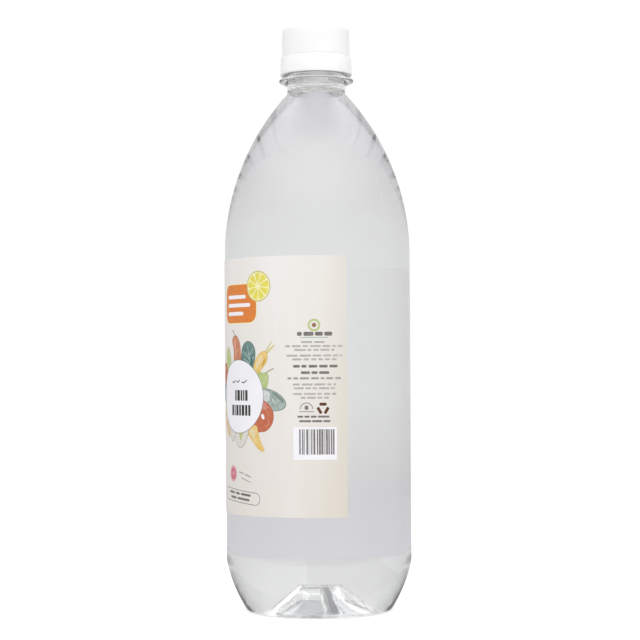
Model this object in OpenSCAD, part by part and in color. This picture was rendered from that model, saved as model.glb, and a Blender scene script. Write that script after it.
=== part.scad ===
// One-litre clear PET bottle of vinegar with a white tamper-evident cap and a
// paper label that wraps less than half of the wall. The bottle stands on z = 0
// with its axis on the Z axis, and the middle of the label faces -Y.

/* [Bottle] */
// Outer radius of the straight wall
body_r = 41.1; // [38:0.1:52]
// Height at which the straight wall starts to turn in to the shoulder
shoulder_z = 157; // [125:1:200]
// Radius of the shoulder's one long curve, seen from the side
shoulder_sweep = 106; // [90:1:140]
// Height at which the straight wall starts to turn in to the heel
heel_z = 23.6; // [20:0.1:30]
// Radius of the soft edge between the straight wall and the heel
heel_edge_r = 14; // [8:1:20]
// Angle through which that soft edge turns
heel_edge_angle = 13; // [8:1:16]
// Radius of the heel's long curve, seen from the side
heel_sweep = 62; // [55:1:75]
// Radius of the toe, between the heel and the standing ring
toe_r = 2.5; // [2:0.1:3.5]
// Thickness of the blown wall
wall = 0.4; // [0.3:0.05:0.7]
// Thickness of the base, which is blown less thin than the wall
base_wall = 0.8; // [0.6:0.05:1.2]

/* [Push-up of the base] */
// Width of the flat ring that the bottle stands on
standing_w = 1.2; // [0.8:0.1:2]
// Radius at which the gentle rise inside the standing ring ends
rise_r = 21; // [18:0.5:23]
// Height of that gentle rise
rise_h = 2.2; // [1.5:0.1:3]
// Height of the push-up's flat top, on its underside
push_up_h = 14.6; // [11:0.1:18]
// Radius of the push-up's flat top
push_up_top_r = 7.6; // [6:0.1:9]
// Height of the hollow between the ribs, where it meets the flat top
hollow_h = 9.6; // [7:0.1:10.5]
// Lean of the step between that hollow and the flat top
hollow_lean = 1.5; // [0.5:0.1:3]
// Number of ribs that run out from the flat top
rib_count = 5; // [4:1:7]
// Radius at which a rib's crest runs down to the level of the standing ring
rib_r = 24.5; // [22:0.5:26]
// Depth of a rib's crest below the flat top
crest_drop = 0.3; // [0.2:0.1:1.5]
// Width of a rib at its foot
rib_w = 7.0; // [5:0.1:8]
// Width of a rib at its crest
rib_crest_w = 3.0; // [2:0.1:4]

/* [Neck] */
// Radius of the bore through the neck, on which every other radius of the neck and the
// cap is built
bore_r = 10.87; // [9:0.01:13.1]
// Thickness of the neck's wall under the support ring
neck_wall = 2.03; // [1.8:0.01:2.5]
// Length of the neck between the shoulder and the support ring
neck_h = 3.6; // [3:0.1:6]
// Overhang of the support ring beyond the neck
ring_out = 3.6; // [3:0.1:4.5]
// Radius of the support ring's rounded rim
ring_rim_r = 0.75; // [0.5:0.05:1]
// Thickness of the support ring where it meets the neck
ring_root_h = 4.2; // [3:0.1:5]
// Thickness of the finish's wall, the part of the neck that the cap covers
finish_wall = 1.6; // [1.3:0.05:1.75]
// Height of the finish above the support ring
finish_h = 19.7; // [16:0.1:24]
// Overhang of the bead that holds the tamper band down
bead_out = 1.43; // [1.2:0.01:1.6]
// Height of that bead
bead_h = 1.6; // [1.2:0.1:2]

/* [Vinegar] */
// Depth of the vinegar's surface below the foot of the neck
fill_drop = 0.6; // [0.2:0.1:20]

/* [Cap] */
// Thickness of the tamper band at its top
band_wall = 1.55; // [1.4:0.05:1.8]
// Thickness of the skirt above the tamper band
cap_wall = 1.1; // [0.9:0.05:1.4]
// Draft of the skirt, taken off its radius at the top
skirt_draft = 0.2; // [0:0.05:0.5]
// Thickness of the cap's top
cap_top_t = 1.6; // [1.2:0.1:2.2]
// Radius of the rounded edge around the cap's top
cap_edge_r = 1.2; // [0.5:0.1:1.5]
// Step from the skirt out to the tamper band
band_step = 0.5; // [0.2:0.05:0.8]
// Flare of the tamper band, added to its radius at the bottom
band_flare = 0.3; // [0:0.05:0.5]
// Height of the tamper band
band_h = 8.1; // [4:0.1:9]
// Height of the slit between the tamper band and the skirt
slit_h = 0.3; // [0.2:0.05:0.6]
// Number of bridges that hold the tamper band to the skirt
bridge_count = 12; // [6:1:24]
// Width of a bridge
bridge_w = 0.9; // [0.5:0.1:1.5]
// Depth of the lip that hooks the tamper band under the bead
band_lip = 0.6; // [0.4:0.1:0.9]
// Height of that lip
band_lip_h = 1.2; // [0.8:0.1:1.6]

/* [Label] */
// Height of the label's lower edge
label_z = 44; // [30:1:60]
// Straight wall left bare between the label's upper edge and the shoulder
label_margin = 2; // [0:0.5:20]
// Angle that the label covers around the bottle
label_angle = 148.4; // [60:0.1:300]
// Thickness of the label's paper
label_t = 0.15; // [0.1:0.01:0.3]

/* [Fits] */
// Gap between the vinegar and the wall
wet_gap = 0.05; // [0.03:0.01:0.08]
// Gap between the label and the wall, where the glue is
glue_gap = 0.05; // [0.03:0.01:0.08]
// Gap between the cap's top and the lip of the neck
seat_gap = 0.05; // [0.02:0.01:0.1]
// Gap between the tamper band's inside and the bead
band_gap = 0.15; // [0.05:0.05:0.3]
// Gap between the support ring's root and the tamper band
ring_gap = 0.4; // [0.2:0.1:1]

/* [Hidden] */
$fn = 96;
overrun = 1;

// Number of straight steps that stand in for each arc of the vessel's outline
toe_steps = 8;
heel_steps = 8;
edge_steps = 5;
shoulder_steps = 18;

// Centres of the shoulder's curve and of the heel's long curve
shoulder_x = body_r - shoulder_sweep;
heel_sweep_x = body_r - heel_edge_r + (heel_edge_r - heel_sweep) * cos(heel_edge_angle);
heel_sweep_z = heel_z + (heel_sweep - heel_edge_r) * sin(heel_edge_angle);
// The toe lies inside the heel's curve and touches both it and the floor
toe_angle = asin((heel_sweep_z - toe_r) / (heel_sweep - toe_r));
toe_x = heel_sweep_x + (heel_sweep - toe_r) * cos(toe_angle);
standing_r = toe_x - standing_w;

// Height at which the shoulder, moved inward by inset, narrows to radius r
function shoulder_height(r, inset) =
    shoulder_z + sqrt(pow(shoulder_sweep - inset, 2) - pow(r - shoulder_x, 2));

neck_r = bore_r + neck_wall;
ring_r = neck_r + ring_out;
finish_r = bore_r + finish_wall;
bead_r = finish_r + bead_out;

neck_z = shoulder_height(neck_r, 0);
fill_z = neck_z - fill_drop;
ring_z = neck_z + neck_h;
ring_top_z = ring_z + ring_root_h;
ring_mid_z = (ring_z + ring_top_z) / 2;
lip_z = ring_top_z + finish_h;

band_z = ring_top_z + ring_gap;
slit_z = band_z + band_h;
cap_inside_z = lip_z + seat_gap;
cap_z = cap_inside_z + cap_top_t;
bead_z = band_z + band_lip_h + ring_gap;
band_inside_r = bead_r + band_gap;
band_top_r = band_inside_r + band_wall;
skirt_r = band_top_r - band_step;
skirt_top_r = skirt_r - skirt_draft;

label_inside_r = body_r + glue_gap;
label_top_z = shoulder_z - label_margin;

rib_pitch = 360 / rib_count;
first_rib = -90;

// What lies between heights low and high of the half outline given
module between(low, high) {
    intersection() {
        children();
        translate([0, low])
            square([2 * body_r, high - low]);
    }
}

// Points of an arc around [x, z] from angle start to angle end, but not its first one,
// which ends the stretch before it
function arc(x, z, r, start, end, steps) = [
    for (i = [1 : steps])
        let (angle = start + (end - start) * i / steps)
            [x + r * cos(angle), z + r * sin(angle)]
];

// Half outline of the vessel, moved inward by inset, up to where its shoulder has
// narrowed to top_r. Its arcs share their centres at every inset.
module vessel_half(inset, top_r) {
    top_angle = acos((top_r - shoulder_x) / (shoulder_sweep - inset));
    edge_x = body_r - heel_edge_r;
    polygon(concat(
        [[0, inset], [toe_x, inset]],
        arc(toe_x, toe_r, toe_r - inset, -90, -toe_angle, toe_steps),
        arc(heel_sweep_x, heel_sweep_z, heel_sweep - inset, -toe_angle, -heel_edge_angle, heel_steps),
        arc(edge_x, heel_z, heel_edge_r - inset, -heel_edge_angle, 0, edge_steps),
        [[body_r - inset, shoulder_z]],
        arc(shoulder_x, shoulder_z, shoulder_sweep - inset, 0, top_angle, shoulder_steps),
        [[0, shoulder_height(top_r, inset)]]
    ));
}

// Half outline of the support ring, thin and round at its rim and thick at its root
module ring_half() {
    rim_x = ring_r - ring_rim_r;
    translate([rim_x, ring_mid_z])
        circle(r = ring_rim_r);
    polygon([
        [bore_r, ring_z],
        [neck_r, ring_z],
        [rim_x, ring_mid_z - ring_rim_r],
        [rim_x, ring_mid_z + ring_rim_r],
        [neck_r, ring_top_z],
        [bore_r, ring_top_z]
    ]);
}

// Half outline of the neck, its support ring, its bead and its lip, all solid
module neck_half() {
    lip_edge = (finish_r - bore_r) / 3;
    translate([0, neck_z - overrun])
        square([neck_r - overrun, overrun]);
    translate([0, neck_z])
        square([neck_r, neck_h]);
    ring_half();
    translate([0, ring_z])
        square([finish_r, lip_z - lip_edge - ring_z]);
    translate([0, lip_z - lip_edge - overrun])
        square([finish_r - lip_edge, lip_edge + overrun]);
    translate([finish_r - lip_edge, lip_z - lip_edge])
        circle(r = lip_edge);
    polygon([
        [bore_r, bead_z],
        [bead_r, bead_z],
        [bead_r, bead_z + bead_h / 2],
        [finish_r, bead_z + bead_h],
        [bore_r, bead_z + bead_h]
    ]);
}

// The push-up under the base, seen as the space beneath it. Grown by the thickness of
// the base, it is the floor that the vinegar stands on.
module push_up(grow) {
    top_end = [push_up_top_r + grow, push_up_h + grow];
    rotate_extrude()
        polygon([
            [0, -overrun],
            [standing_r + grow, -overrun],
            [standing_r + grow, grow],
            [rise_r + grow, rise_h + grow],
            [top_end.x + hollow_lean, hollow_h + grow],
            top_end,
            [0, top_end.y]
        ]);
    for (i = [0 : rib_count - 1])
        rotate([0, 0, first_rib + i * rib_pitch])
            rib(grow);
}

// One rib of the push-up, along +X, whose crest slopes from just under the flat top
module rib(grow) {
    crest_z = push_up_h - crest_drop + grow;
    foot_w = rib_w / 2 + grow;
    crest_w = rib_crest_w / 2 + grow;
    intersection() {
        rotate_extrude()
            polygon([
                [0, -overrun / 2],
                [rib_r + grow, -overrun / 2],
                [rib_r + grow, grow],
                [push_up_top_r + grow, crest_z],
                [0, crest_z]
            ]);
        rotate([90, 0, 90])
            linear_extrude(height = 2 * rib_r)
                polygon([
                    [-foot_w, -overrun],
                    [foot_w, -overrun],
                    [crest_w, crest_z + overrun],
                    [-crest_w, crest_z + overrun]
                ]);
    }
}

module bottle() {
    color([0.90, 0.93, 0.94, 0.35])
        difference() {
            rotate_extrude() {
                vessel_half(0, neck_r);
                neck_half();
            }
            push_up(0);
            difference() {
                rotate_extrude() {
                    vessel_half(wall, bore_r);
                    translate([0, shoulder_z])
                        square([bore_r, lip_z + overrun - shoulder_z]);
                }
                push_up(base_wall);
            }
        }
}

module vinegar() {
    color([0.88, 0.89, 0.88, 0.5])
        difference() {
            rotate_extrude()
                between(0, fill_z)
                    vessel_half(wall + wet_gap, bore_r);
            push_up(base_wall + wet_gap);
        }
}

// Half outline of the cap's outside
module cap_outside_half() {
    square([skirt_r - cap_wall, cap_z - cap_edge_r]);
    polygon([
        [0, slit_z],
        [skirt_r, slit_z],
        [skirt_top_r, cap_z - cap_edge_r],
        [0, cap_z - cap_edge_r]
    ]);
    translate([skirt_top_r - cap_edge_r, cap_z - cap_edge_r])
        circle(r = cap_edge_r);
    translate([0, cap_z - 2 * cap_edge_r])
        square([skirt_top_r - cap_edge_r, 2 * cap_edge_r]);
    polygon([
        [0, band_z],
        [band_top_r + band_flare, band_z],
        [band_top_r, slit_z],
        [0, slit_z]
    ]);
}

// Half outline of the cap's inside, narrow at the lip that hooks under the bead
module cap_inside_half() {
    lip_top = band_z + band_lip_h;
    square([band_inside_r - band_lip, lip_top + band_lip]);
    polygon([
        [0, lip_top],
        [band_inside_r - band_lip, lip_top],
        [band_inside_r, lip_top + band_lip / 2],
        [band_inside_r, slit_z],
        [skirt_r - cap_wall, slit_z + overrun],
        [skirt_top_r - cap_wall, cap_inside_z],
        [0, cap_inside_z]
    ]);
}

// The slit that lets the tamper band break away, cut everywhere but at its bridges
module slit() {
    difference() {
        translate([0, 0, slit_z - slit_h])
            cylinder(r = band_top_r + overrun, h = slit_h);
        for (i = [0 : bridge_count - 1])
            rotate([0, 0, i * 360 / bridge_count])
                translate([0, -bridge_w / 2, slit_z - slit_h - overrun])
                    cube([band_top_r - band_step, bridge_w, slit_h + 2 * overrun]);
    }
}

module cap() {
    color("white")
        difference() {
            rotate_extrude()
                between(band_z, cap_z)
                    difference() {
                        cap_outside_half();
                        cap_inside_half();
                    }
            slit();
        }
}

module label() {
    color([0.93, 0.91, 0.87])
        rotate([0, 0, -90 - label_angle / 2])
            rotate_extrude(angle = label_angle)
                translate([label_inside_r, label_z])
                    square([label_t, label_top_z - label_z]);
}

bottle();
vinegar();
cap();
label();
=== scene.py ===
"""Looks of the vinegar bottle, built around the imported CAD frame.

Lengths in the shape code are in millimetres, as in the CAD, and are scaled once, when a
mesh is made. The label's artwork is drawn flat, in millimetres of arc (u, to the right
of someone who faces the label) and of height (z), and then rolled on to the bottle.
"""

import math
import random

import bmesh
import bpy
import numpy as np
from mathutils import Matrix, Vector
from mathutils.geometry import delaunay_2d_cdt


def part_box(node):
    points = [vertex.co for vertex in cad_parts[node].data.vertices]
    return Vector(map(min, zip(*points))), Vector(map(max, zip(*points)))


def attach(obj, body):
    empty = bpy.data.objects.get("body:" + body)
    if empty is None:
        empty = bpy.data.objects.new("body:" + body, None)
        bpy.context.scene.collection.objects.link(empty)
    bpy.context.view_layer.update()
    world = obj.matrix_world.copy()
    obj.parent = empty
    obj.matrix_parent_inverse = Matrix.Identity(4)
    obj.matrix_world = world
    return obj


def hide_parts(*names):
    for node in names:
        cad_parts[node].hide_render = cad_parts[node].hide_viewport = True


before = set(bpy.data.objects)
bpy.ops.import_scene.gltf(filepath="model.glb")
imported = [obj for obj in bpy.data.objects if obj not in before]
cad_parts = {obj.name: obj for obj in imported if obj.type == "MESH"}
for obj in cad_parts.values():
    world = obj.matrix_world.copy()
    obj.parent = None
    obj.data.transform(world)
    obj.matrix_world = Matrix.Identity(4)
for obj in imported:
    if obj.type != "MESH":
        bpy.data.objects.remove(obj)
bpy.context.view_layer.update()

MM = 0.001
SEGMENTS = 200

# ---------------------------------------------------------------- sizes from the frame
bottle_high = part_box("bottle")[1]
vinegar_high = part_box("vinegar")[1]
cap_low, cap_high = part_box("cap")
label_low, label_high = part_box("label")

BODY_R = bottle_high.x / MM
LIP_Z = bottle_high.z / MM
FILL_Z = vinegar_high.z / MM
CAP_LOW, CAP_TOP = cap_low.z / MM, cap_high.z / MM
BAND_R = cap_high.x / MM
LABEL_LOW, LABEL_TOP = label_low.z / MM, label_high.z / MM
LABEL_R = -label_low.y / MM

# ---------------------------------------------------------------- sizes as in the CAD
WALL = 0.4
BASE_WALL = 0.8
# The heel's three arcs, from the floor up: (centre r, centre z, radius), and where they meet
TOE = (30.557, 2.5, 2.5)
HEEL = (-19.670, 34.398, 62.0)
EDGE = (27.1, 23.6, 14.0)
TOE_ANGLE, EDGE_ANGLE = 32.42, 13.0
SHOULDER_Z = 157.0
SHOULDER_R = 106.0
SHOULDER_X = BODY_R - SHOULDER_R
STANDING_R = 29.357
NECK_R = 12.9
BORE_R = 10.87
NECK_Z = 228.994
RING_Z = 232.594
RING_TOP = 236.794
RING_MID = 234.694
RING_RIM_R = 0.75
RING_RIM_X = 16.5 - RING_RIM_R
RING_RIM_ANGLE = 64.7
FINISH_R = 12.47
BEAD_R = 13.9
BEAD_Z = 238.794
SLIT_Z = 245.294
SKIRT_R = 15.1
BAND_INNER_R = 14.05
BAND_LIP_R = 13.45
BRIDGES = 12
CAP_INSIDE_R = 14.6
PAPER = 0.15
LABEL_HALF = math.radians(74.2) * LABEL_R


# ---------------------------------------------------------------- outlines
def arc(x, z, r, start, end, steps):
    """Points of an arc after its first one."""
    out = []
    for i in range(1, steps + 1):
        a = math.radians(start + (end - start) * i / steps)
        out.append((x + r * math.cos(a), z + r * math.sin(a)))
    return out


def shoulder_height(r, inset):
    """Height of the shoulder at radius r, moved inward by inset."""
    return SHOULDER_Z + math.sqrt((SHOULDER_R - inset) ** 2 - (r - SHOULDER_X) ** 2)


def wall_outline(inset, top_r):
    """The side of the vessel, moved inward by inset, from its toe to where it narrows to top_r."""
    top = math.degrees(math.acos((top_r - SHOULDER_X) / (SHOULDER_R - inset)))
    pts = [(TOE[0], inset)]
    pts += arc(TOE[0], TOE[1], TOE[2] - inset, -90, -TOE_ANGLE, 12)
    pts += arc(HEEL[0], HEEL[1], HEEL[2] - inset, -TOE_ANGLE, -EDGE_ANGLE, 14)
    pts += arc(EDGE[0], EDGE[1], EDGE[2] - inset, -EDGE_ANGLE, 0, 6)
    low, high = EDGE[1], SHOULDER_Z
    pts += [(BODY_R - inset, low + (high - low) * i / 12) for i in range(1, 13)]
    pts += arc(SHOULDER_X, SHOULDER_Z, SHOULDER_R - inset, 0, top, 44)
    return pts


def rounded(corners, steps=5):
    """A line through corners (r, z, fillet), with each corner turned into an arc."""
    out = []
    for i, (x, z, f) in enumerate(corners):
        if f == 0 or i in (0, len(corners) - 1):
            out.append((x, z))
            continue
        p = Vector((x, z))
        a = Vector(corners[i - 1][:2]) - p
        b = Vector(corners[i + 1][:2]) - p
        half = a.angle(b) / 2
        reach = min(f / math.tan(half), a.length * 0.49, b.length * 0.49)
        radius = reach * math.tan(half)
        centre = p + (a.normalized() + b.normalized()).normalized() * (radius / math.sin(half))
        start, end = p + a.normalized() * reach - centre, p + b.normalized() * reach - centre
        turn = start.angle_signed(end)
        for k in range(steps + 1):
            t = -turn * k / steps
            out.append((centre.x + start.x * math.cos(t) - start.y * math.sin(t),
                        centre.y + start.x * math.sin(t) + start.y * math.cos(t)))
    return out


# ---------------------------------------------------------------- the ribbed base
PUSH_TOP_R, PUSH_H, HOLLOW_H, RISE_R, RISE_H = 7.6, 14.6, 9.6, 21.0, 2.2
RIB_R, RIB_FOOT, RIB_CREST, RIB_DROP = 24.5, 3.5, 1.5, 0.3
RIBS = [math.radians(-90 + 72 * i) for i in range(5)]
BASE_RADII = [float(r) for r in np.linspace(0.8, STANDING_R, 52)]
HOLLOW = ([0, PUSH_TOP_R, PUSH_TOP_R + 1.5, RISE_R, STANDING_R, 99],
          [PUSH_H, PUSH_H, HOLLOW_H, RISE_H, 0, 0])


def soft_max(a, b, k):
    """The larger of a and b, blended where they differ by less than k."""
    h = np.clip(0.5 + 0.5 * (a - b) / k, 0, 1)
    return b + (a - b) * h + k * h * (1 - h)


def soft_min(a, b, k):
    return -soft_max(-a, -b, k)


def hollow_height(r):
    """The push-up between its ribs, with its corners rounded as blown plastic rounds them."""
    w = min(1.1, max(STANDING_R - r, 0))
    xs = np.abs(np.linspace(r - w, r + w, 15))
    return float(np.interp(xs, *HOLLOW).mean())


def base_height(r, angles):
    """Height of the underside at radius r, for each angle around the bottle."""
    z = np.full(len(angles), hollow_height(r))
    if r >= RIB_R + 1.5:
        return z
    crest_full = (PUSH_H - RIB_DROP) * (RIB_R - max(r, PUSH_TOP_R)) / (RIB_R - PUSH_TOP_R)
    for rib in RIBS:
        along = r * np.cos(angles - rib)
        across = np.abs(r * np.sin(angles - rib))
        crest = np.full(len(angles), crest_full)
        side = (RIB_FOOT - across) / (RIB_FOOT - RIB_CREST) * (PUSH_H + 1) - 1
        top = soft_min(crest, side, 2.4)
        top = np.where(along > 0, top, -5)
        z = soft_max(z, top, 1.2)
    return np.minimum(z, PUSH_H) * min(1, (STANDING_R - r) / 0.4) if r < STANDING_R else z * 0


def base_thickness(r):
    """How thick the base is at radius r: thin at the standing ring, full a little inside it."""
    return BASE_WALL * min(1, 0.5 + (STANDING_R - r))


# ---------------------------------------------------------------- mesh making
ANGLES = np.arange(SEGMENTS) * 2 * math.pi / SEGMENTS
COS, SIN = np.cos(ANGLES), np.sin(ANGLES)


def ring_of(r, z):
    """Points all round at radius r. The height z is one number, or one for each point."""
    return np.stack([r * COS, r * SIN, np.broadcast_to(z, SEGMENTS)], 1)


class Shell:
    """Joins rings of points into one closed skin. A ring of radius 0 becomes a pole."""

    def __init__(self):
        self.verts, self.faces, self.last = [], [], None

    def add(self, r, z):
        start = len(self.verts)
        if r == 0:
            self.verts.append((0, 0, float(np.mean(z))))
            here = [start] * SEGMENTS
        else:
            self.verts += [tuple(p) for p in ring_of(r, z)]
            here = list(range(start, start + SEGMENTS))
        if self.last is not None:
            for i in range(SEGMENTS):
                j = (i + 1) % SEGMENTS
                face = []
                for v in (self.last[i], self.last[j], here[j], here[i]):
                    if v not in face:
                        face.append(v)
                if len(face) > 2:
                    self.faces.append(face)
        self.last = here
        return here

    def close(self, first):
        """Joins the last ring to an earlier one, which makes a tube without poles."""
        for i in range(SEGMENTS):
            j = (i + 1) % SEGMENTS
            self.faces.append([self.last[i], self.last[j], first[j], first[i]])
        self.last = None


def finish_mesh(name, verts, faces, sharp):
    """An object in metres, shaded smooth except at edges sharper than the angle given."""
    mesh = bpy.data.meshes.new(name)
    mesh.from_pydata([tuple(c * MM for c in v) for v in verts], [], faces)
    bm = bmesh.new()
    bm.from_mesh(mesh)
    bmesh.ops.recalc_face_normals(bm, faces=bm.faces)
    limit = math.radians(sharp)
    for f in bm.faces:
        f.smooth = True
    for e in bm.edges:
        e.smooth = e.is_manifold and e.calc_face_angle(0) < limit
    bm.to_mesh(mesh)
    bm.free()
    piece = bpy.data.objects.new(name, mesh)
    bpy.context.scene.collection.objects.link(piece)
    return piece


def make_bottle():
    """The vessel: its outside from the base up to the lip, then its inside back down."""
    s = Shell()
    s.add(0, base_height(0.01, ANGLES))
    for r in BASE_RADII:
        s.add(r, base_height(r, ANGLES))
    outside = wall_outline(0, NECK_R + 0.9)
    for r, z in outside:
        s.add(r, z)
    rim = arc(RING_RIM_X, RING_MID, RING_RIM_R, -RING_RIM_ANGLE, RING_RIM_ANGLE, 8)
    neck = rounded([
        (outside[-1][0], outside[-1][1], 0),
        (NECK_R, NECK_Z, 1.2),
        (NECK_R, RING_Z, 0.35),
        (rim[0][0], rim[0][1], 0)])[1:]
    for r, z in neck + rim:
        s.add(r, z)
    lip_edge = (FINISH_R - BORE_R) / 3
    bore_top, bore_low = LIP_Z - 3, LIP_Z - 23
    finish = rounded([
        (rim[-1][0], rim[-1][1], 0),
        (FINISH_R, RING_TOP + 0.2, 0.35),
        (FINISH_R, BEAD_Z, 0.15),
        (BEAD_R, BEAD_Z, 0.25),
        (BEAD_R, BEAD_Z + 0.8, 0.25),
        (FINISH_R, BEAD_Z + 1.6, 0.3),
        (FINISH_R, LIP_Z, lip_edge),
        (BORE_R, LIP_Z, lip_edge),
        (BORE_R, bore_top, 0)])[1:]
    for r, z in finish:
        s.add(r, z)
    for i in range(1, 6):
        s.add(BORE_R, bore_top - (bore_top - bore_low) * i / 6)
    inside = wall_outline(WALL, BORE_R + 1.3)
    bore_foot = shoulder_height(BORE_R, WALL)
    throat = rounded([
        (BORE_R, bore_low, 0),
        (BORE_R, bore_foot, 0.7),
        (inside[-1][0], inside[-1][1], 0)])
    for r, z in throat + inside[::-1][1:]:
        s.add(r, z)
    for r in BASE_RADII[::-1]:
        s.add(r, base_height(r, ANGLES) + base_thickness(r))
    s.add(0, base_height(0.01, ANGLES) + BASE_WALL)
    return finish_mesh("bottle_clear", s.verts, s.faces, 50)


def make_vinegar(into=0.13):
    """The liquid. It reaches into the wall, and its edge climbs a little up the plastic."""
    s = Shell()
    s.add(0, base_height(0.01, ANGLES) + BASE_WALL - into)
    for r in BASE_RADII:
        s.add(r, base_height(r, ANGLES) + base_thickness(r) - into)
    side = [p for p in wall_outline(WALL - into, BORE_R + 1.2) if p[1] < FILL_Z - 0.05]
    for r, z in side:
        s.add(r, z)
    edge = SHOULDER_X + math.sqrt((SHOULDER_R - WALL + into) ** 2 - (FILL_Z - SHOULDER_Z) ** 2)
    climb, width, steepness, steps = 0.9, 5.5, 1.3, 15
    s.add(edge, FILL_Z)
    for i in range(1, steps + 1):
        inward = width * (i / steps) ** 1.6
        s.add(edge - inward, FILL_Z - climb * (1 - math.exp(-inward / steepness)))
    s.add(3.5, FILL_Z - climb)
    s.add(0, FILL_Z - climb)
    return finish_mesh("vinegar_fill", s.verts, s.faces, 50)


def make_cap():
    """The white cap: a tamper band, the skirt and top above it, and the bridges that join them."""
    s = Shell()
    # The tamper band, a closed ring of its own
    slit = 0.14
    band_top = SLIT_Z - slit
    band = rounded([
        (BAND_LIP_R, CAP_LOW + 0.6, 0),
        (BAND_LIP_R, CAP_LOW, 0.15),
        (BAND_R, CAP_LOW, 0.3),
        (BAND_R - 0.3, band_top, 0.25),
        (BAND_INNER_R, band_top, 0.1),
        (BAND_INNER_R, CAP_LOW + 1.6, 0),
        (BAND_LIP_R, CAP_LOW + 1.2, 0)])
    first = s.add(*band[0])
    for p in band[1:]:
        s.add(*p)
    s.close(first)
    # The skirt and the top
    edge, chamfer, taper = 1.2, 0.12, 0.2
    top_r = SKIRT_R - taper
    outer = [(SKIRT_R - chamfer, SLIT_Z), (SKIRT_R, SLIT_Z + chamfer)]
    outer += [(SKIRT_R - taper * t, SLIT_Z + chamfer + (CAP_TOP - edge - SLIT_Z - chamfer) * t)
              for t in (0.25, 0.5, 0.75, 1)]
    outer += arc(top_r - edge, CAP_TOP - edge, edge, 0, 90, 10)
    outer += [(r, CAP_TOP) for r in (11.5, 8, 4)]
    first = s.add(14.0, SLIT_Z)
    for p in outer:
        s.add(*p)
    s.add(0, CAP_TOP)
    s.last = None
    inside_z = LIP_Z + 0.05
    s.add(0, inside_z)
    for r in (4, 8, 13.8):
        s.add(r, inside_z)
    s.close(first)
    # The bridges between the two
    half_width, overlap = 0.45, 0.2
    for k in range(BRIDGES):
        a = 2 * math.pi * k / BRIDGES
        base = len(s.verts)
        for r in (14.2, SKIRT_R):
            for z in (band_top - overlap, SLIT_Z + overlap):
                for side in (-half_width, 0, half_width):
                    t = a + side / r
                    s.verts.append((r * math.cos(t), r * math.sin(t), z))
        for i in (0, 1):
            j = i + 1
            s.faces += [[base + i, base + j, base + 3 + j, base + 3 + i],
                        [base + 6 + j, base + 6 + i, base + 9 + i, base + 9 + j],
                        [base + i, base + 6 + i, base + 6 + j, base + j],
                        [base + 3 + j, base + 9 + j, base + 9 + i, base + 3 + i]]
        s.faces += [[base, base + 3, base + 9, base + 6], [base + 2, base + 8, base + 11, base + 5]]
    return finish_mesh("cap_moulded", s.verts, s.faces, 32)


# ---------------------------------------------------------------- label artwork
art = []


def put(ink, outline):
    """Lays a closed flat shape of one ink over what is already there."""
    art.append((ink, [(max(-LABEL_HALF, min(LABEL_HALF, x)), z) for x, z in outline]))


def oval(cx, cz, rx, rz, turn=0, n=36):
    c, s = math.cos(math.radians(turn)), math.sin(math.radians(turn))
    pts = [(rx * math.cos(2 * math.pi * i / n), rz * math.sin(2 * math.pi * i / n)) for i in range(n)]
    return [(cx + x * c - z * s, cz + x * s + z * c) for x, z in pts]


def smooth(points, steps=5):
    """A closed soft outline through the points given."""
    n, out = len(points), []
    for i in range(n):
        p0, p1, p2, p3 = (Vector(points[(i + k) % n]) for k in (-1, 0, 1, 2))
        for k in range(steps):
            t = k / steps
            q = 0.5 * (2 * p1 + (p2 - p0) * t + (2 * p0 - 5 * p1 + 4 * p2 - p3) * t * t
                       + (3 * p1 - p0 - 3 * p2 + p3) * t ** 3)
            out.append((q.x, q.y))
    return out


def block(x0, z0, x1, z1, r=0.0, turn=0):
    """A rectangle with rounded corners, turned about its middle."""
    r = min(r, (x1 - x0) / 2.01, (z1 - z0) / 2.01)
    if r <= 0:
        pts = [(x0, z0), (x1, z0), (x1, z1), (x0, z1)]
    else:
        pts = []
        for cx, cz, a in ((x1 - r, z0 + r, -90), (x1 - r, z1 - r, 0),
                          (x0 + r, z1 - r, 90), (x0 + r, z0 + r, 180)):
            for k in range(5):
                t = math.radians(a + 22.5 * k)
                pts.append((cx + r * math.cos(t), cz + r * math.sin(t)))
    mx, mz = (x0 + x1) / 2, (z0 + z1) / 2
    c, s = math.cos(math.radians(turn)), math.sin(math.radians(turn))
    return [(mx + (x - mx) * c - (z - mz) * s, mz + (x - mx) * s + (z - mz) * c) for x, z in pts]


def stroke(points, width, taper=1.0):
    """A line of the given width through the points, narrowing to taper times it at its end."""
    left, right, n = [], [], len(points)
    for i, p in enumerate(points):
        a, b = Vector(points[max(i - 1, 0)]), Vector(points[min(i + 1, n - 1)])
        d = (b - a).normalized()
        w = width / 2 * (1 + (taper - 1) * i / (n - 1))
        left.append((p[0] - d.y * w, p[1] + d.x * w))
        right.append((p[0] + d.y * w, p[1] - d.x * w))
    return left + right[::-1]


def outlined(fill, points, line="line", width=0.22):
    """A soft shape with a thin drawn edge, made of a wider shape under it."""
    pts = smooth(points) if len(points) < 30 else points
    middle = Vector((sum(p[0] for p in pts) / len(pts), sum(p[1] for p in pts) / len(pts)))
    grown = []
    for i, p in enumerate(pts):
        a, b = Vector(pts[i - 1]), Vector(pts[(i + 1) % len(pts)])
        d = (b - a).normalized()
        out = Vector((d.y, -d.x))
        if out.dot(Vector(p) - middle) < 0:
            out = -out
        grown.append((p[0] + out.x * width, p[1] + out.y * width))
    put(line, grown)
    put(fill, pts)


def words(ink, x0, x1, z, height, seed, gap=0.75):
    """A row of plain dashes where a line of small print would be."""
    rng = random.Random(seed)
    x = x0
    while x < x1 - 0.8:
        w = min(rng.uniform(1.6, 5.2), x1 - x)
        if w > 0.7:
            put(ink, block(x, z - height / 2, x + w, z + height / 2, height * 0.35))
        x += w + gap * rng.uniform(0.8, 1.2)


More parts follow.
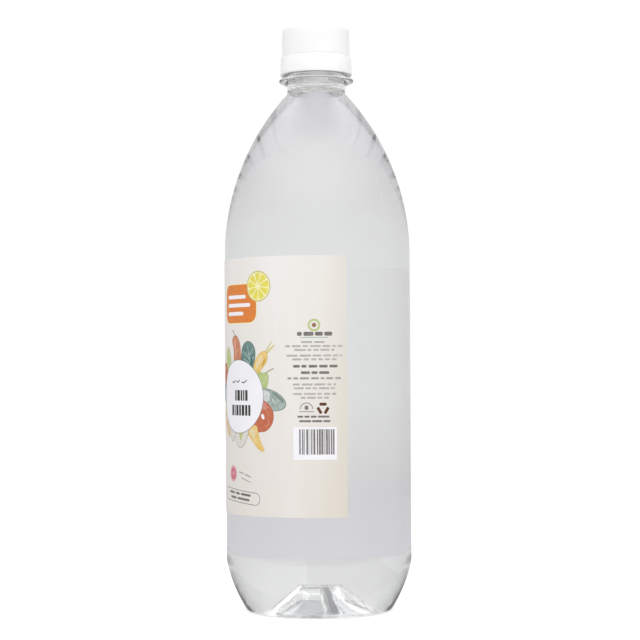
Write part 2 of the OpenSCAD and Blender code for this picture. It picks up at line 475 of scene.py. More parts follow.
def draw_wreath():
    """Plain garden vegetables round about the white disc, on the side that the photograph shows."""
    outlined("red", [(-5.0, 118.8), (-4.3, 120.6), (-2.4, 121.5), (-0.6, 121.0), (0.9, 119.3),
                     (1.9, 117.0), (2.2, 114), (2.1, 109.5), (-3.1, 109.5), (-3.5, 114),
                     (-3.9, 116.6)], "red_deep")
    put("stalk", stroke([(-2.2, 121.2), (-3.2, 122.6), (-4.9, 124.0)], 0.55, 1.3))
    put("red_pale", smooth([(-3.4, 119.2), (-2.4, 119.8), (-1.6, 117.5), (-1.5, 113.0), (-2.2, 113.0),
                            (-2.7, 116.5)]))
    outlined("teal", [(7.5, 118.9), (9.6, 118.2), (11.2, 116.4), (11.8, 113.8), (11.5, 111.0),
                      (10.8, 108.0), (8.8, 106.8), (5.5, 108.8), (3.2, 110.4), (3.0, 113.2),
                      (3.7, 116.2), (5.4, 118.2)], "teal_deep")
    for pts in ([(9.4, 108.0), (8.3, 112.5), (6.8, 117.6)], [(8.6, 111.0), (6.4, 113.2), (4.4, 114.6)],
                [(8.3, 113.0), (9.8, 115.0), (10.6, 116.0)], [(9.0, 109.8), (10.4, 111.6), (11.1, 112.4)],
                [(8.9, 108.9), (6.6, 110.6), (4.4, 111.6)]):
        put("teal_pale", stroke(pts, 0.55, 0.5))
    put("teal_deep", smooth([(8.4, 108.2), (10.2, 108.6), (10.3, 111.2), (9.2, 112.2), (8.9, 110.4)]))
    put("straw", stroke([(16.8, 113.6), (18.8, 116.2), (20.8, 118.8)], 0.7, 0.5))
    put("straw", stroke([(17.4, 113.2), (19.6, 115.2), (22.0, 117.2)], 1.0, 0.6))
    outlined("carrot", [(15.9, 114.3), (17.4, 114.3), (18.3, 112.8), (18.1, 110.6), (16.5, 108.4),
                        (14.6, 106.3), (12.6, 104.4), (11.4, 105.8), (11.0, 108.2), (12.0, 110.6),
                        (13.6, 112.8)], "carrot_deep")
    put("carrot_pale", smooth([(12.3, 108.8), (13.2, 110.6), (15.2, 112.8), (15.8, 112.0), (14.4, 109.6),
                               (13.0, 107.2)]))
    put("carrot_deep", smooth([(16.9, 111.4), (17.6, 111.6), (17.0, 109.6), (15.6, 108.0), (15.4, 108.8)]))
    outlined("leaf_pale", [(14.2, 104.2), (16.6, 105.0), (18.6, 104.6), (18.7, 101.6), (17.8, 98.8),
                           (15.6, 97.0), (14.4, 100.0)], "leaf_line", 0.16)
    put("leaf", smooth([(12.8, 104.9), (14.6, 105.7), (16.4, 105.4), (18.4, 105.8), (17.0, 104.2),
                        (15.2, 102.6), (14.1, 102.2)]))
    put("leaf", smooth([(14.8, 97.2), (15.6, 99.2), (17.8, 101.6), (16.2, 98.4), (15.6, 96.4)]))
    put("stalk", stroke([(17.4, 105.0), (19.2, 106.2), (21.4, 107.2)], 0.5, 1.3))
    outlined("gourd", [(15.0, 98.0), (18.6, 98.3), (22.5, 97.0), (25.6, 94.8), (26.9, 92.5), (26.2, 90.5),
                       (23.0, 89.4), (18.6, 89.7), (15.0, 91.0)], "gourd_deep", 0.3)
    put("gourd_pale", smooth([(15.0, 97.4), (17.6, 97.8), (19.6, 96.6), (18.8, 93.4), (17.4, 91.2),
                              (15.2, 91.8)]))
    put("gourd_deep", smooth([(20.6, 97.2), (23.6, 96.0), (25.8, 93.8), (26.3, 92.2), (24.8, 93.6),
                              (22.8, 95.2)]))
    rng = random.Random(7)
    for _ in range(26):
        a, b = rng.uniform(0, 6.283), rng.uniform(0.1, 0.85)
        put(rng.choice(["gourd_pale", "gourd_deep"]),
            oval(21.6 + 4.2 * b * math.cos(a), 93.4 + 3.0 * b * math.sin(a), rng.uniform(0.16, 0.42),
                 rng.uniform(0.14, 0.3), rng.uniform(0, 180), 10))
    outlined("red_round", [(14.8, 93.4), (17.0, 93.2), (19.2, 91.6), (20.9, 89.0), (21.2, 86.2),
                           (20.2, 83.2), (17.8, 80.9), (15.0, 80.3), (11.6, 80.8), (11.6, 88.0)],
             "red_deep", 0.18)
    put("rose", smooth([(15.2, 92.8), (17.4, 92.4), (18.8, 90.6), (17.2, 90.0), (15.4, 90.2)]))
    put("white", oval(15.9, 86.7, 0.75, 1.25, 20, 20))
    put("red_pale", stroke([(16.4, 90.6), (18.0, 89.0), (19.2, 87.0)], 0.3, 0.5))
    put("red_pale", stroke([(19.0, 85.8), (18.8, 83.8), (17.8, 82.4)], 0.28, 0.5))
    outlined("carrot", [(6.0, 80.2), (9.5, 82.6), (12.4, 82.6), (13.4, 79.4), (14.7, 75.8), (16.4, 72.8),
                        (15.7, 71.9), (13.4, 73.0), (10.8, 75.4), (8.4, 78.0)], "carrot_deep", 0.14)
    put("carrot_pale", smooth([(8.2, 80.4), (10.4, 81.4), (11.6, 79.6), (11.2, 77.4), (9.6, 78.2)]))
    outlined("bulb", [(-2.9, 81.0), (-2.4, 77.4), (-0.8, 74.6), (1.8, 73.2), (4.6, 74.8), (6.2, 77.4),
                      (6.9, 81.0)])
    put("leaf", smooth([(0.4, 80.4), (3.9, 80.4), (3.0, 78.2), (1.9, 76.2), (1.0, 78.2)]))
    put("straw", smooth([(1.1, 80.2), (2.8, 80.2), (2.3, 78.8), (1.8, 77.9), (1.4, 79.0)]))
    outlined("bulb", [(-7.9, 82.2), (-7.2, 78.6), (-5.2, 75.8), (-3.4, 77.4), (-2.8, 80.4)])


def draw_hidden_wreath():
    """The side of the wreath that the photograph hides, in the same plain manner."""
    outlined("peach", [(-12.0, 94.0), (-15.8, 92.6), (-16.8, 88.0), (-15.2, 83.2), (-12.2, 79.4),
                       (-9.0, 77.4), (-8.4, 79.6), (-9.4, 83.0)], "carrot_deep", 0.14)
    outlined("teal", [(-12.0, 92.6), (-15.6, 92.4), (-19.6, 94.0), (-21.4, 97.2), (-19.6, 100.4),
                      (-15.8, 101.2), (-12.6, 100.2)], "teal_deep")
    put("teal_pale", stroke([(-13.6, 96.8), (-17.2, 96.8), (-20.2, 97.2)], 0.5, 0.5))
    outlined("red_round", oval(-15.9, 105.4, 4.4, 4.4, 0, 32), "red_deep", 0.18)
    put("white", oval(-17.3, 107.2, 0.6, 1.0, -25, 18))
    outlined("leaf_pale", [(-11.8, 107.4), (-13.4, 110.4), (-13.2, 113.8), (-10.8, 116.6), (-8.2, 114.6),
                           (-6.8, 111.0), (-7.8, 108.4)], "leaf_line", 0.16)
    put("leaf", stroke([(-9.6, 108.8), (-10.2, 112.4), (-10.7, 116.0)], 0.5, 0.4))


def draw_disc():
    """The white disc, with bars where its words were."""
    cx, cz, cr = 0.4, 95.2, 15.7
    put("line", oval(cx, cz, cr + 0.28, cr + 0.28, 0, 110))
    put("white", oval(cx, cz, cr, cr, 0, 110))
    for x0, x1 in ((-2.6, -1.3), (-0.7, 1.5), (2.1, 3.3), (3.9, 4.8), (5.4, 7.0)):
        put("ink", block(x0, 93.4, x1, 98.0, 0.25))
    for x0, x1 in ((-5.7, -3.8), (-3.2, -2.3), (-1.7, 0.2), (0.8, 2.2), (2.8, 4.7), (5.3, 6.8), (7.4, 8.8)):
        put("ink", block(x0, 87.0, x1, 91.6, 0.25))
    for pts in ([(-5.2, 101.6), (-3.6, 101.2), (-2.2, 102.2)], [(-1.4, 101.8), (0.2, 101.4), (1.4, 102.4)],
                [(2.9, 101.4), (4.6, 101.2), (6.6, 102.3)]):
        put("ink", stroke(pts, 0.55, 0.8))


def draw_panel():
    """A plain orange panel and a slice of lemon, in place of the maker's mark and its flower."""
    put("yellow_pale", block(-13.0, 126.6, 13.0, 143.9, 4.4))
    put("orange", block(-12.6, 127.0, 12.6, 143.5, 4.0))
    put("white", block(-9.6, 137.4, 6.2, 139.0, 0.7))
    put("white", block(-9.6, 133.8, 9.0, 135.4, 0.7))
    put("white", block(-9.6, 130.2, 4.4, 131.8, 0.7))
    lx, lz, lr = 13.6, 142.4, 6.6
    put("straw", oval(lx, lz, lr, lr, 0, 48))
    put("yellow_pale", oval(lx, lz, lr - 0.55, lr - 0.55, 0, 48))
    segment = [(0.9, 0), (3.0, 0.85), (5.2, 1.45), (5.6, 0.7),
               (5.65, 0), (5.6, -0.7), (5.2, -1.45), (3.0, -0.85)]
    for k in range(9):
        a = math.radians(40 * k + 12)
        c, s = math.cos(a), math.sin(a)
        put("yellow", [(lx + p * c - q * s, lz + p * s + q * c) for p, q in segment])


def draw_small_marks():
    """A dot, some strokes and a rounded frame under the disc."""
    put("pink_pale", oval(-4.9, 61.7, 3.4, 3.5, 0, 32))
    put("pink", oval(-4.9, 61.7, 2.5, 2.6, 0, 28))
    put("pink_pale", oval(-4.9, 61.7, 0.9, 0.95, 0, 16))
    put("grey", stroke([(0.4, 62.6), (2.4, 62.3), (4.2, 61.9)], 0.8, 0.7))
    put("grey", stroke([(5.2, 61.7), (7.0, 61.2), (8.8, 60.6)], 0.8, 0.8))
    put("ink_soft", stroke([(2.1, 60.2), (5.2, 59.4), (9.0, 58.3)], 0.3, 0.8))
    put("line", block(-14.4, 49.4, 14.2, 54.9, 2.7, -4))
    put("paper", block(-14.1, 49.7, 13.9, 54.6, 2.4, -4))
    for x0, x1, z in ((-8.8, -3.6, 53.7), (-2.6, 0.8, 53.35), (1.8, 8.6, 52.95),
                      (-7.6, -2.0, 51.5), (-1.0, 7.8, 51.0)):
        put("ink_soft", block(x0, z - 0.5, x1, z + 0.5, 0.35, -4))


def draw_right_panel():
    """The panel of small print, all of it dashes, and a block of random bars."""
    cx = 39.5
    put("leaf_pale", oval(cx, 125.5, 2.7, 2.7, 0, 32))
    put("paper", oval(cx, 125.5, 1.75, 1.75, 0, 28))
    put("sepia", oval(cx, 125.5, 0.95, 0.95, 0, 20))
    words("ink_soft", 32.2, 47.2, 121.8, 1.7, 1, 0.6)
    put("teal_pale", block(33.5, 120.05, 45.4, 120.45))
    rows = ((118.3, 33.9, 45.0), (116.6, 26.9, 51.6), (115.0, 30.9, 48.1), (112.6, 27.5, 51.4),
            (111.0, 30.0, 49.0), (100.4, 30.3, 48.7), (98.8, 30.7, 48.2), (96.4, 30.3, 48.8),
            (94.8, 33.7, 45.6))
    for i, (z, x0, x1) in enumerate(rows):
        words("grey", x0, x1, z, 0.85, 20 + i)
    words("ink_soft", 30.4, 49.4, 108.1, 1.15, 41)
    words("ink_soft", 33.8, 46.1, 105.4, 1.15, 42)
    words("grey_deep", 27.9, 50.8, 103.0, 0.95, 43)
    arch = [(36.1 + 2.7 * math.cos(t), 89.7 + 2.9 * math.sin(t))
            for t in np.linspace(0.1, math.pi - 0.1, 16)]
    put("grey_deep", stroke(arch, 0.5))
    put("ink_soft", block(35.3, 89.7, 36.9, 91.5, 0.5))
    put("grey_deep", block(33.0, 88.7, 39.2, 89.15))
    for k in range(3):
        a = math.radians(90 + 120 * k)
        put("brown", block(43.1 + 1.75 * math.cos(a) - 1.5, 90.3 + 1.75 * math.sin(a) - 0.62,
                           43.1 + 1.75 * math.cos(a) + 1.5, 90.3 + 1.75 * math.sin(a) + 0.62, 0.3, 120 * k))
    words("ink_soft", 32.2, 46.7, 86.8, 0.85, 51, 0.5)
    words("ink_soft", 32.9, 46.2, 84.9, 0.85, 52, 0.5)
    put("white", block(30.4, 68.6, 48.9, 82.3, 0.3))
    rng = random.Random(11)
    x = 32.9
    while x < 47.6:
        w = rng.choice([0.22, 0.3, 0.45, 0.62, 0.8])
        put("ink_soft", block(x, 70.8, min(x + w, 47.9), 81.5))
        x += w + rng.choice([0.2, 0.28, 0.42, 0.6])


def draw_left_panel():
    """A plain table of dashes, where the photograph doesn't show the label."""
    put("grey_deep", block(-50.6, 66.0, -28.4, 121.2, 0.4))
    put("paper", block(-50.3, 66.3, -28.7, 120.9, 0.3))
    put("ink_soft", block(-48.8, 117.0, -33.0, 118.9, 0.3))
    put("grey_deep", block(-49.6, 115.2, -29.4, 115.6))
    for i in range(14):
        z = 112.9 - 3.3 * i
        ink, indent = ("ink_soft", 0) if i % 4 == 0 else ("grey", 1.6)
        words(ink, -48.9 + indent, -38.0, z, 0.95, 70 + i)
        put("grey_deep", block(-33.6, z - 0.45, -30.0, z + 0.45, 0.2))
        put("grey", block(-49.6, z - 1.75, -29.4, z - 1.6))
    words("grey", -49.0, -30.0, 60.8, 0.85, 91)
    words("grey", -47.0, -32.0, 58.6, 0.85, 92)


PRINT_GAIN = 0.97
# Ink: (main colour, second colour that mottles it), as they look on the label in sRGB
INKS = {
    "paper": ((239, 237, 234), (236, 233, 228)),
    "back": ((247, 247, 246), (245, 245, 244)),
    "white": ((247, 246, 250), (243, 242, 246)),
    "line": ((138, 142, 142), (120, 124, 124)),
    "ink": ((52, 50, 50), (70, 66, 64)),
    "ink_soft": ((112, 109, 106), (132, 128, 124)),
    "grey": ((176, 172, 168), (188, 184, 180)),
    "grey_deep": ((158, 154, 150), (172, 168, 163)),
    "orange": ((229, 136, 58), (220, 128, 62)),
    "yellow": ((232, 222, 92), (224, 212, 96)),
    "yellow_pale": ((243, 238, 168), (246, 242, 196)),
    "straw": ((216, 204, 122), (198, 190, 120)),
    "red": ((197, 124, 92), (210, 148, 116)),
    "red_pale": ((222, 172, 146), (214, 158, 130)),
    "red_deep": ((160, 88, 66), (176, 100, 78)),
    "red_round": ((192, 103, 74), (202, 118, 88)),
    "rose": ((206, 130, 118), (216, 150, 138)),
    "teal": ((90, 124, 119), (124, 147, 142)),
    "teal_deep": ((72, 106, 104), (90, 122, 116)),
    "teal_pale": ((176, 196, 192), (156, 180, 176)),
    "carrot": ((230, 192, 104), (236, 212, 152)),
    "carrot_pale": ((232, 220, 184), (230, 212, 164)),
    "carrot_deep": ((214, 166, 70), (204, 158, 74)),
    "peach": ((228, 202, 168), (222, 192, 150)),
    "leaf": ((172, 190, 116), (190, 204, 140)),
    "leaf_pale": ((196, 206, 152), (182, 198, 130)),
    "leaf_line": ((150, 166, 108), (140, 156, 100)),
    "stalk": ((158, 160, 112), (176, 174, 140)),
    "gourd": ((150, 166, 158), (176, 188, 182)),
    "gourd_pale": ((216, 220, 216), (196, 204, 200)),
    "gourd_deep": ((112, 130, 122), (130, 146, 138)),
    "bulb": ((226, 222, 214), (220, 216, 206)),
    "pink": ((200, 108, 124), (210, 128, 142)),
    "pink_pale": ((222, 160, 168), (228, 176, 182)),
    "sepia": ((150, 110, 86), (160, 122, 98)),
    "brown": ((92, 54, 34), (104, 64, 42)),
}


def linear(c):
    """One channel of an sRGB colour, from 0 to 255, as a linear value."""
    c /= 255
    return c / 12.92 if c <= 0.04045 else ((c + 0.055) / 1.055) ** 2.4


def inside(points, outline):
    """Which points lie in the closed outline, by counting crossings."""
    px, pz = points[:, 0], points[:, 1]
    hit = np.zeros(len(points), bool)
    n = len(outline)
    for i in range(n):
        x0, z0 = outline[i]
        x1, z1 = outline[(i + 1) % n]
        if z0 == z1:
            continue
        cross = ((z0 > pz) != (z1 > pz)) & (px < (x1 - x0) * (pz - z0) / (z1 - z0) + x0)
        hit ^= cross
    return hit


def cut_into_triangles():
    """The flat label's points and triangles, cut along every outline of the artwork."""
    verts, edges = [], []

    def loop(points, closed=True):
        start = len(verts)
        verts.extend(Vector(p) for p in points)
        count = len(points)
        edges.extend((start + i, start + (i + 1) % count) for i in range(count if closed else count - 1))

    loop([(-LABEL_HALF, LABEL_LOW), (LABEL_HALF, LABEL_LOW),
          (LABEL_HALF, LABEL_TOP), (-LABEL_HALF, LABEL_TOP)])
    strips = 90
    for i in range(1, strips):
        x = -LABEL_HALF + 2 * LABEL_HALF * i / strips
        loop([(x, LABEL_LOW), (x, LABEL_TOP)], False)
    for _, outline in art:
        loop(outline)
    flat, _, tris, _, _, _ = delaunay_2d_cdt(verts, edges, [], 0, 1e-4)
    return np.array([(p.x, p.y) for p in flat]), [t for t in tris if len(set(t)) == 3]


def ink_of_each(flat, tris, inks):
    """The number of the topmost ink over the middle of each triangle."""
    mid = np.array([flat[list(t)].mean(0) for t in tris])
    which = np.zeros(len(tris), int)
    for ink, outline in art:
        o = np.array(outline)
        near = np.where((mid >= o.min(0)).all(1) & (mid <= o.max(0)).all(1))[0]
        if len(near):
            which[near[inside(mid[near], outline)]] = inks.index(ink)
    return which


def two_sided(flat, tris, which, inks):
    """Faces of the front, the back and the cut edge, and the ink of each."""
    n = len(flat)
    faces, slots = [], []
    sides = {}  # edges that only one triangle has, in the order they were met
    for t, k in zip(tris, which):
        a, b, c = flat[t[0]], flat[t[1]], flat[t[2]]
        if (b[0] - a[0]) * (c[1] - a[1]) - (b[1] - a[1]) * (c[0] - a[0]) < 0:
            t = t[::-1]
        faces.append(tuple(t))
        slots.append(int(k))
        faces.append(tuple(v + n for v in t[::-1]))
        slots.append(inks.index("back"))
        for i in range(3):
            pair = (t[i], t[(i + 1) % 3])
            if pair[::-1] in sides:
                del sides[pair[::-1]]
            else:
                sides[pair] = True
    for a, b in sides:
        faces.append((b, a, a + n, b + n))
        slots.append(inks.index("paper"))
    return faces, slots


def roll(p, r):
    """A point of the flat label, rolled on to a wall of radius r."""
    a = p[0] / LABEL_R
    return (r * math.sin(a), -r * math.cos(a), p[1])


def make_label():
    """One closed sheet, cut into its fields of ink and rolled round the wall."""
    for draw in (draw_wreath, draw_hidden_wreath, draw_disc, draw_panel, draw_small_marks,
                 draw_right_panel, draw_left_panel):
        draw()
    inks = list(INKS)
    flat, tris = cut_into_triangles()
    faces, slots = two_sided(flat, tris, ink_of_each(flat, tris, inks), inks)
    n = len(flat)
    points = [roll(p, LABEL_R) for p in flat] + [roll(p, LABEL_R - PAPER) for p in flat]
    mesh = bpy.data.meshes.new("label_wrap")
    mesh.from_pydata([tuple(c * MM for c in p) for p in points], [], faces)
    for f, k in zip(mesh.polygons, slots):
        f.material_index = k
    mesh.polygons.foreach_set("use_smooth", [len(f) == 3 for f in faces])
    # Smooth across the front and the back, flat on the cut edge
    normals = []
    for f in mesh.polygons:
        for v in f.vertices:
            if len(f.vertices) == 3:
                p = points[v]
                out = Vector((p[0], p[1], 0)).normalized()
                normals.append(out if v < n else -out)
            else:
                normals.append(f.normal.copy())
    mesh.normals_split_custom_set(normals)
    piece = bpy.data.objects.new("label_wrap", mesh)
    bpy.context.scene.collection.objects.link(piece)
    for name in inks:
        mesh.materials.append(print_material(name))
    return piece


# ---------------------------------------------------------------- materials
def new_material(name):
    m = bpy.data.materials.new(name)
    m.use_nodes = True
    tree = m.node_tree
    shader = next(x for x in tree.nodes if x.type == "BSDF_PRINCIPLED")
    out = next(x for x in tree.nodes if x.type == "OUTPUT_MATERIAL")
    return m, tree, shader, out


def noise(tree, scale, detail=3.0, rough=0.5, stretch=(1, 1, 1)):
    """Noise fixed to the object, from 0 to 1."""
    place = tree.nodes.new("ShaderNodeTexCoord")
    mapping = tree.nodes.new("ShaderNodeMapping")
    mapping.inputs["Scale"].default_value = stretch
    n = tree.nodes.new("ShaderNodeTexNoise")
    n.inputs["Scale"].default_value = scale
    n.inputs["Detail"].default_value = detail
    n.inputs["Roughness"].default_value = rough
    tree.links.new(place.outputs["Object"], mapping.inputs["Vector"])
    tree.links.new(mapping.outputs["Vector"], n.inputs["Vector"])
    return n.outputs["Fac"]


def ramp(tree, fac, stops):
    r = tree.nodes.new("ShaderNodeValToRGB")
    r.color_ramp.elements[0].position, r.color_ramp.elements[0].color = stops[0]
    r.color_ramp.elements[1].position, r.color_ramp.elements[1].color = stops[-1]
    for position, color in stops[1:-1]:
        r.color_ramp.elements.new(position).color = color
    tree.links.new(fac, r.inputs["Fac"])
    return r.outputs["Color"]


def bump(tree, shader, fac, strength, distance):
    b = tree.nodes.new("ShaderNodeBump")
    b.inputs["Strength"].default_value = strength
    b.inputs["Distance"].default_value = distance
    tree.links.new(fac, b.inputs["Height"])
    tree.links.new(b.outputs["Normal"], shader.inputs["Normal"])


def shade(color):
    """The linear colour of a printed ink, never brighter than real paper."""
    return tuple(min(0.94, linear(c) * PRINT_GAIN) for c in color) + (1.0,)


def across(tree, value, low, high):
    """0 where value is low or less, up to 1 where it is high or more."""
    span = tree.nodes.new("ShaderNodeMapRange")
    span.inputs["From Min"].default_value = low
    span.inputs["From Max"].default_value = high
    tree.links.new(value, span.inputs["Value"])
    return span.outputs["Result"]


def tinted(tree, color, tint, amount):
    """The colour, multiplied by a tint where amount is 1."""
    mix = tree.nodes.new("ShaderNodeMix")
    mix.data_type, mix.blend_type = "RGBA", "MULTIPLY"
    tree.links.new(amount, mix.inputs["Factor"])
    tree.links.new(color, mix.inputs["A"])
    mix.inputs["B"].default_value = tint
    return mix.outputs["Result"]


def shaded_and_warmed(tree, color):
    """Paper darker and warmer towards its lower edge, as painted shade of light that falls from above, and
    warmer and a little darker towards its right-hand edge, as its own tone.
    """
    place = tree.nodes.new("ShaderNodeTexCoord")
    axes = tree.nodes.new("ShaderNodeSeparateXYZ")
    tree.links.new(place.outputs["Object"], axes.inputs[0])
    # Painted shade: the paper darkens towards its lower edge, as if lit from above
    painted_shade_down = across(tree, axes.outputs["Z"], LABEL_TOP * MM, LABEL_LOW * MM)
    color = tinted(tree, color, (0.955, 0.935, 0.905, 1), painted_shade_down)
    forward = tree.nodes.new("ShaderNodeMath")
    forward.operation = "MULTIPLY"
    forward.inputs[1].default_value = -1
    tree.links.new(axes.outputs["Y"], forward.inputs[0])
    around = tree.nodes.new("ShaderNodeMath")
    around.operation = "ARCTAN2"
    tree.links.new(axes.outputs["X"], around.inputs[0])
    tree.links.new(forward.outputs[0], around.inputs[1])
    right = across(tree, around.outputs[0], 0.75, 1.3)
    return tinted(tree, color, (0.88, 0.865, 0.815, 1), right)


def print_material(name):
    """Ink on coated paper: two tones that run into each other, over a faint paper grain."""
    main, other = INKS[name]
    m, tree, shader, _ = new_material("label_" + name)
    scale = 60 if name in ("paper", "white") else 420
    stretch = (1, 1, 0.12) if name == "paper" else (1, 1, 1)
    spread = noise(tree, scale, 4, 0.6, stretch)
    color = ramp(tree, spread, [(0.36, shade(main)), (0.64, shade(other))])
    # The paper also gets painted shade towards its lower edge
    if name == "paper":
        color = shaded_and_warmed(tree, color)
    tree.links.new(color, shader.inputs["Base Color"])
    shader.inputs["Roughness"].default_value = 0.55
    shader.inputs["Specular IOR Level"].default_value = 0.25
    bump(tree, shader, noise(tree, 2600, 3, 0.6), 0.06, 0.00005)
    if name == "back":
        # Thin paper: light that falls on its face glows through to its back
        shader.inputs["Subsurface Weight"].default_value = 1.0
        shader.inputs["Subsurface Radius"].default_value = (1.0, 0.97, 0.93)
        shader.inputs["Subsurface Scale"].default_value = 0.0015
    return m


def clear_plastic():
    m, tree, shader, _ = new_material("pet_clear")
    shader.inputs["Base Color"].default_value = (0.995, 0.998, 0.998, 1)
    shader.inputs["Roughness"].default_value = 0.015
    shader.inputs["IOR"].default_value = 1.575
    shader.inputs["Transmission Weight"].default_value = 1.0
    bump(tree, shader, noise(tree, 45, 2, 0.4, (1, 1, 0.35)), 0.05, 0.0002)
    return m


def clear_vinegar():
    m, tree, shader, out = new_material("vinegar_clear")
    shader.inputs["Base Color"].default_value = (1, 1, 1, 1)
    shader.inputs["Roughness"].default_value = 0.0
    shader.inputs["IOR"].default_value = 1.34
    shader.inputs["Transmission Weight"].default_value = 1.0
    volume = tree.nodes.new("ShaderNodeVolumeAbsorption")
    volume.inputs["Color"].default_value = (0.60, 0.61, 0.62, 1)
    volume.inputs["Density"].default_value = 3.0
    tree.links.new(volume.outputs["Volume"], out.inputs["Volume"])
    return m


def white_plastic(name, weight, depth):
    """Milky plastic, which lets in a share of the light, as deep as depth says, in metres."""
    m, tree, shader, _ = new_material(name)
    color = ramp(tree, noise(tree, 90, 3), [(0.3, (0.92, 0.92, 0.922, 1)), (0.7, (0.945, 0.945, 0.945, 1))])
    tree.links.new(color, shader.inputs["Base Color"])
    rough = tree.nodes.new("ShaderNodeMapRange")
    rough.inputs["To Min"].default_value = 0.34
    rough.inputs["To Max"].default_value = 0.46
    tree.links.new(noise(tree, 700, 4), rough.inputs["Value"])
    tree.links.new(rough.outputs["Result"], shader.inputs["Roughness"])
    bump(tree, shader, noise(tree, 1800, 4, 0.6), 0.10, 0.00006)
    shader.inputs["Subsurface Weight"].default_value = weight
    shader.inputs["Subsurface Radius"].default_value = (1.0, 1.0, 0.95)
    shader.inputs["Subsurface Scale"].default_value = depth
    return m


# ---------------------------------------------------------------- pieces
bottle = make_bottle()
bottle.data.materials.append(clear_plastic())
vinegar = make_vinegar()
vinegar.data.materials.append(clear_vinegar())
cap = make_cap()
cap.data.materials.append(white_plastic("cap_white", 0.5, 0.002))
# Inside the cap, light that falls on its outside glows through
cap.data.materials.append(white_plastic("cap_white_inside", 1.0, 0.008))
for face in cap.data.polygons:
    middle = face.center / MM
    if math.hypot(middle.x, middle.y) < CAP_INSIDE_R and middle.z < CAP_TOP - 1:
        face.material_index = 1
label = make_label()

for piece, node, slot in ((bottle, "bottle", "clear_plastic"), (vinegar, "vinegar", "vinegar"),
                          (cap, "cap", "white_plastic"), (label, "label", "label_paper")):
    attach(piece, "root")
    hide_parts(node)

# ---------------------------------------------------------------- floor and light
# The camera sees a plain white floor and world. What the clear pieces refract and mirror is
# a separate field of light on both, aligned with the line of the main view and dimmer to its sides; on the
# floor it is a painted glow, with painted shade near the bottle.
BACKDROP = (0.83, 0.83, 0.83, 1)
FLOOR_R = 5
# (distance from the bottle in metres, colour of the painted field on the floor there; the darker colours
# near the bottle are painted shade)
FLOOR = ((0.05, (0.66, 0.65, 0.67, 1)), (0.16, (0.70, 0.69, 0.715, 1)), (0.3, (0.740, 0.724, 0.762, 1)),
         (0.65, (0.730, 0.712, 0.735, 1)), (1.2, (0.762, 0.757, 0.762, 1)), (2.0, (0.795, 0.793, 0.793, 1)),
         (FLOOR_R, BACKDROP))
# (cosine of the angle to the main view's line, how bright the field is there)
TOWARD_SIDES = ((0.0, 0.70), (0.35, 0.74), (0.58, 0.82), (0.72, 0.90), (0.84, 0.965), (0.93, 1.0))
# (height of a direction, from 0 level to 1 straight up, brightness of the soft band there)
BAND = ((0.0, 0), (0.38, 0), (0.62, 0.55), (0.84, 0.85), (0.93, 0.3), (0.98, 0))
VIEW_AZIMUTH = math.radians(57)
MAIN_VIEW = Vector((math.sin(VIEW_AZIMUTH), -math.cos(VIEW_AZIMUTH), 0))


def grey_ramp(tree, fac, stops):
    return ramp(tree, fac, [(at, (v, v, v, 1)) for at, v in stops])


def toward_sides(tree, direction):
    """A field that falls off a little to the left and right of the line of the main view."""
    dot = tree.nodes.new("ShaderNodeVectorMath")
    dot.operation = "DOT_PRODUCT"
    dot.inputs[1].default_value = MAIN_VIEW
    tree.links.new(direction, dot.inputs[0])
    size = tree.nodes.new("ShaderNodeMath")
    size.operation = "ABSOLUTE"
    tree.links.new(dot.outputs["Value"], size.inputs[0])
    return grey_ramp(tree, size.outputs[0], TOWARD_SIDES)


def times(tree, a, b):
    """One colour multiplied by another."""
    mix = tree.nodes.new("ShaderNodeMix")
    mix.data_type, mix.blend_type = "RGBA", "MULTIPLY"
    mix.inputs["Factor"].default_value = 1
    tree.links.new(a, mix.inputs["A"])
    tree.links.new(b, mix.inputs["B"])
    return mix.outputs["Result"]


def floor_material():
    m, tree, shader, out = new_material("floor_white")
    shader.inputs["Base Color"].default_value = (0.70, 0.70, 0.71, 1)
    shader.inputs["Roughness"].default_value = 0.9
    shader.inputs["Specular IOR Level"].default_value = 0.1
    shader.inputs["Emission Color"].default_value = (1, 1, 1, 1)
    shader.inputs["Emission Strength"].default_value = 0.55
    place = tree.nodes.new("ShaderNodeTexCoord")
    reach = tree.nodes.new("ShaderNodeVectorMath")
    reach.operation = "LENGTH"
    tree.links.new(place.outputs["Object"], reach.inputs[0])
    far = across(tree, reach.outputs["Value"], 0, FLOOR_R)
    outward = tree.nodes.new("ShaderNodeVectorMath")
    outward.operation = "NORMALIZE"
    tree.links.new(place.outputs["Object"], outward.inputs[0])
    painted_shade_by_distance = ramp(tree, far, [(d / FLOOR_R, c) for d, c in FLOOR])
    # Rays other than the camera's see this glow instead of a lit floor: painted light, with painted shade
    # near the bottle and towards the sides
    field = tree.nodes.new("ShaderNodeEmission")
    tree.links.new(times(tree, painted_shade_by_distance, toward_sides(tree, outward.outputs["Vector"])),
                   field.inputs["Color"])
    rays = tree.nodes.new("ShaderNodeLightPath")
    pick = tree.nodes.new("ShaderNodeMixShader")
    tree.links.new(rays.outputs["Is Camera Ray"], pick.inputs["Fac"])
    tree.links.new(field.outputs[0], pick.inputs[1])
    tree.links.new(shader.outputs[0], pick.inputs[2])
    tree.links.new(pick.outputs[0], out.inputs["Surface"])
    return m


def make_floor():
    bm = bmesh.new()
    bmesh.ops.create_circle(bm, cap_ends=True, radius=FLOOR_R, segments=96)
    mesh = bpy.data.meshes.new("floor")
    bm.to_mesh(mesh)
    bm.free()
    mesh.materials.append(floor_material())
    floor = bpy.data.objects.new("floor", mesh)
    bpy.context.scene.collection.objects.link(floor)
    return floor


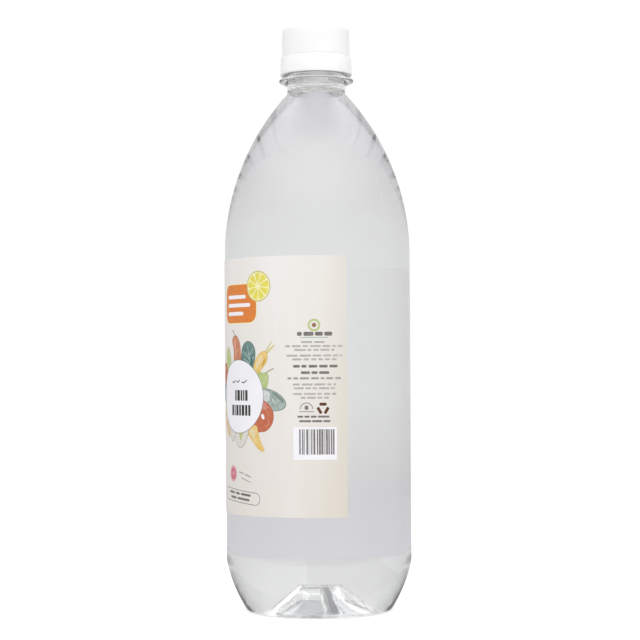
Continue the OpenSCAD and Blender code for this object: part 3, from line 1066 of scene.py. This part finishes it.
def make_world():
    world = bpy.data.worlds.new("studio")
    world.use_nodes = True
    tree = world.node_tree
    tree.nodes.clear()
    place = tree.nodes.new("ShaderNodeTexCoord")
    axes = tree.nodes.new("ShaderNodeSeparateXYZ")
    tree.links.new(place.outputs["Generated"], axes.inputs[0])
    even = tree.nodes.new("ShaderNodeRGB")
    even.outputs[0].default_value = BACKDROP
    field = times(tree, even.outputs[0], toward_sides(tree, place.outputs["Generated"]))
    rays = tree.nodes.new("ShaderNodeLightPath")
    # A soft band high up, which only mirrors in the shoulder
    plus = tree.nodes.new("ShaderNodeMix")
    plus.data_type, plus.blend_type = "RGBA", "ADD"
    tree.links.new(rays.outputs["Is Glossy Ray"], plus.inputs["Factor"])
    tree.links.new(field, plus.inputs["A"])
    tree.links.new(grey_ramp(tree, axes.outputs["Z"], BAND), plus.inputs["B"])
    seen = tree.nodes.new("ShaderNodeMix")
    seen.data_type = "RGBA"
    seen.inputs["B"].default_value = (1.02, 1.02, 1.02, 1)
    tree.links.new(rays.outputs["Is Camera Ray"], seen.inputs["Factor"])
    tree.links.new(plus.outputs["Result"], seen.inputs["A"])
    back = tree.nodes.new("ShaderNodeBackground")
    tree.links.new(seen.outputs["Result"], back.inputs["Color"])
    out = tree.nodes.new("ShaderNodeOutputWorld")
    tree.links.new(back.outputs[0], out.inputs["Surface"])
    return world


floor = make_floor()
bpy.context.scene.world = make_world()


def area(name, direction, distance, size, energy):
    """A big soft lamp that lights what is matt and leaves no mirror image in the bottle."""
    target = Vector((0, 0, 0.13))
    data = bpy.data.lights.new(name, "AREA")
    data.shape, data.size, data.energy = "SQUARE", size, energy
    lamp = bpy.data.objects.new(name, data)
    bpy.context.scene.collection.objects.link(lamp)
    lamp.location = target + Vector(direction).normalized() * distance
    lamp.rotation_euler = (target - lamp.location).to_track_quat("-Z", "Y").to_euler()
    lamp.visible_camera = lamp.visible_glossy = lamp.visible_transmission = False


def heading(azimuth, elevation):
    """A direction, in degrees round from the middle of the label and up from level."""
    a, e = math.radians(azimuth), math.radians(elevation)
    return (math.sin(a) * math.cos(e), -math.cos(a) * math.cos(e), math.sin(e))


area("key", heading(44, 30), 1.6, 1.3, 9.5)
area("right", heading(125, 24), 1.7, 1.2, 8.0)
area("fill", heading(-35, 24), 1.8, 1.2, 5.0)
area("back", heading(225, 40), 1.8, 1.4, 7.0)
area("above", (0.1, 0, 1), 1.5, 1.2, 5.0)

# ---------------------------------------------------------------- camera
CAMERA_DISTANCE = 0.795
CAMERA_HEIGHT = 0.1086
CAMERA_ROLL = math.radians(-0.37)
IMAGE = 640
camera_data = bpy.data.cameras.new("camera")
camera_data.sensor_width = 36
camera_data.lens = 100.46
camera_data.shift_y = 45 / IMAGE
camera_data.shift_x = 2 / IMAGE
camera_data.clip_start = 0.01
camera = bpy.data.objects.new("camera", camera_data)
bpy.context.scene.collection.objects.link(camera)
camera.location = MAIN_VIEW * CAMERA_DISTANCE + Vector((0, 0, CAMERA_HEIGHT))
camera.rotation_euler = (-MAIN_VIEW).to_track_quat("-Z", "Y").to_euler()
camera.rotation_euler.rotate_axis("Z", CAMERA_ROLL)

scene = bpy.context.scene
scene.camera = camera
scene.view_settings.view_transform = "Standard"
scene.cycles.max_bounces = 48
scene.cycles.transmission_bounces = 44
scene.cycles.glossy_bounces = 24
scene.cycles.diffuse_bounces = 4
scene.cycles.use_denoising = True
scene.cycles.caustics_reflective = True
scene.cycles.caustics_refractive = True
scene.cycles.blur_glossy = 0.3
